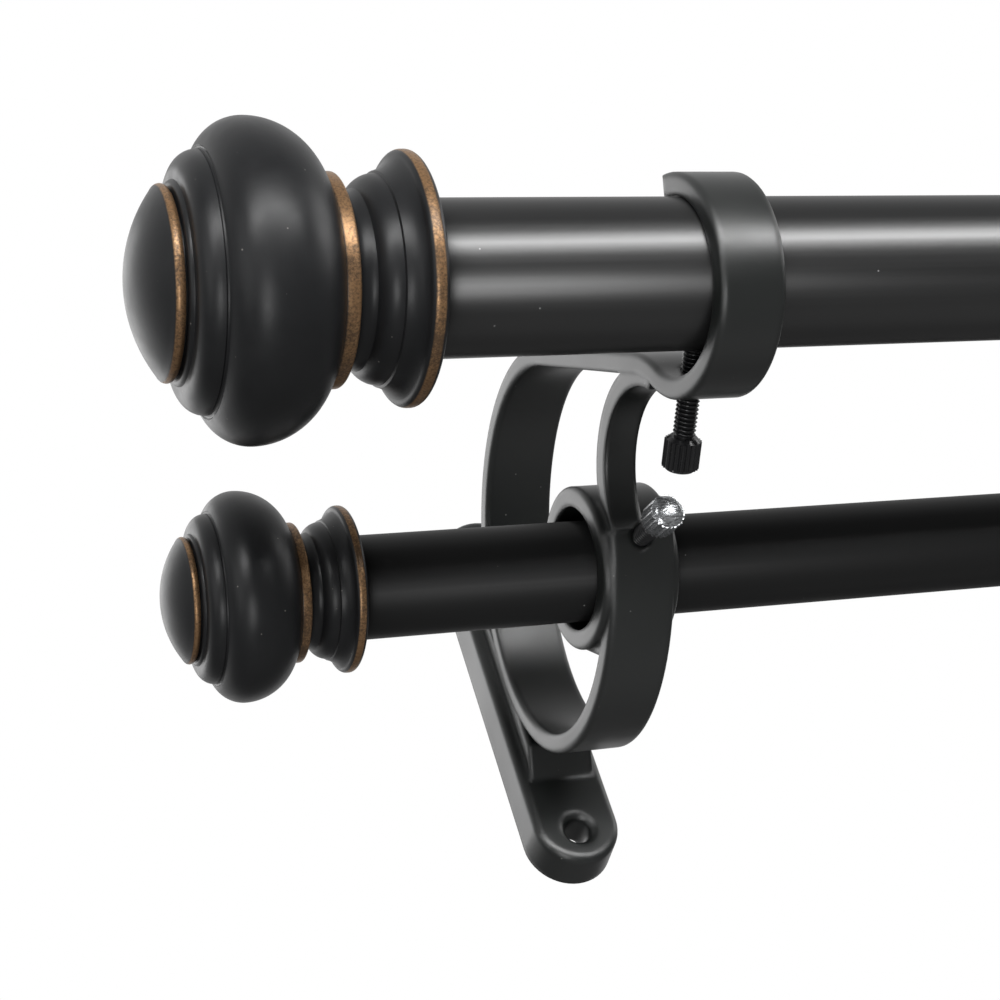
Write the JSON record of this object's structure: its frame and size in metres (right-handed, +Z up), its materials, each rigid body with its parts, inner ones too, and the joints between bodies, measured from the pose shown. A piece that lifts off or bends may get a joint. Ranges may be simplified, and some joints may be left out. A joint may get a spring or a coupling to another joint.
{
  "type": "double curtain pole",
  "caption": "Telescopic double curtain pole: a thick front and a thinner rear tube with turned knob finials, held by thumb screws in two cast scroll wall brackets.",
  "frame": {"origin": "on the wall plane, in the middle of the left bracket's wall plate between its two screw holes", "axes": "+X along the poles towards the right bracket, +Y from the room into the wall, +Z up"},
  "size_m": [0.8008, 0.1541, 0.0894],
  "materials": {
    "bracket_coat": "satin black powder coat",
    "tube_coat": "satin black paint on steel tube",
    "screw_plate": "glossy black, worn bright on the rear heads",
    "finial_coat": "matte black with rubbed bronze bands",
    "end_plug": "moulded black",
    "stud_steel": "plain threaded rod"
  },
  "bodies": {
    "fixed_set": {"left_bracket": "bracket_coat", "right_bracket": "bracket_coat", "front_outer_tube": "tube_coat", "rear_outer_tube": "tube_coat", "front_left_finial": "finial_coat", "front_left_stud": "stud_steel", "front_left_plug": "end_plug", "rear_left_finial": "finial_coat", "rear_left_stud": "stud_steel", "rear_left_plug": "end_plug"},
    "front_extension": {"front_inner_tube": "tube_coat", "front_right_finial": "finial_coat", "front_right_stud": "stud_steel", "front_right_plug": "end_plug"},
    "rear_extension": {"rear_inner_tube": "tube_coat", "rear_right_finial": "finial_coat", "rear_right_stud": "stud_steel", "rear_right_plug": "end_plug"},
    "front_left_thumb_screw_body": {"front_left_thumb_screw": "screw_plate"},
    "front_right_thumb_screw_body": {"front_right_thumb_screw": "screw_plate"},
    "rear_left_thumb_screw_body": {"rear_left_thumb_screw": "screw_plate"},
    "rear_right_thumb_screw_body": {"rear_right_thumb_screw": "screw_plate"}
  },
  "joints": [
    {"name": "front_pole_extends", "type": "slide", "parent": "fixed_set", "child": "front_extension", "axis": [1, 0, 0], "range_m": [0, 0.508]},
    {"name": "rear_pole_extends", "type": "slide", "parent": "fixed_set", "child": "rear_extension", "axis": [1, 0, 0], "range_m": [0, 0.508]},
    {"name": "front_left_screw_backs_out", "type": "slide", "parent": "fixed_set", "child": "front_left_thumb_screw_body", "axis": [0, 0.8973, -0.4415], "range_m": [0, 0.0035]},
    {"name": "front_right_screw_backs_out", "type": "slide", "parent": "fixed_set", "child": "front_right_thumb_screw_body", "axis": [0, 0.8973, -0.4415], "range_m": [0, 0.0035]},
    {"name": "rear_left_screw_backs_out", "type": "slide", "parent": "fixed_set", "child": "rear_left_thumb_screw_body", "axis": [0, -0.9379, -0.3469], "range_m": [0, 0.003]},
    {"name": "rear_right_screw_backs_out", "type": "slide", "parent": "fixed_set", "child": "rear_right_thumb_screw_body", "axis": [0, -0.9379, -0.3469], "range_m": [0, 0.003]}
  ]
}
